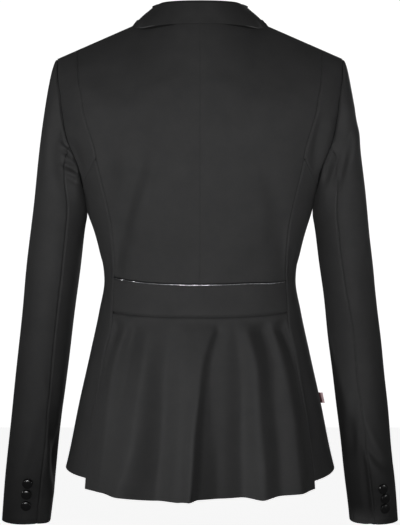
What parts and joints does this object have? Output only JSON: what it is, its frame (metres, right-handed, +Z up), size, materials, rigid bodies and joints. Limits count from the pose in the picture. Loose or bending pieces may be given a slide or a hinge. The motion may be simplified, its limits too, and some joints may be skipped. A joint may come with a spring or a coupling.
{
  "type": "equestrian show jacket",
  "caption": "Fitted black riding jacket in a worn, hollow form, with a turned collar, princess seams, a crystal-trimmed waistband, a fluted back skirt and buttoned cuffs.",
  "frame": {"origin": "between the wearer's shoulders at the base of the neck, where the jacket is held up", "axes": "+Z up, -Y out of the jacket's back, +X to the wearer's right"},
  "size_m": [0.5662, 0.3175, 0.7248],
  "materials": {
    "cloth": "matte black stretch cloth",
    "buttons": "polished black",
    "trim": "clear crystals in a silvery setting",
    "tab": "plain woven tape"
  },
  "bodies": {
    "root": {"collar_fall": "cloth", "collar_stand": "cloth", "waistband_back": "cloth", "peplum_back": "cloth", "back_left": "cloth", "back_right": "cloth", "back_insert_left": "cloth", "back_insert_right": "cloth", "side_left": "cloth", "side_right": "cloth", "front_left": "cloth", "front_right": "cloth", "lapel_left": "cloth", "lapel_right": "cloth", "sleeve_top_left": "cloth", "sleeve_top_right": "cloth", "sleeve_under_left": "cloth", "sleeve_under_right": "cloth", "cuff_button_left_1": "buttons", "cuff_button_left_2": "buttons", "cuff_button_left_3": "buttons", "cuff_button_right_1": "buttons", "cuff_button_right_2": "buttons", "cuff_button_right_3": "buttons", "front_button_1": "buttons", "front_button_2": "buttons", "front_button_3": "buttons", "waist_trim": "trim", "side_tab": "tab"}
  },
  "joints": []
}
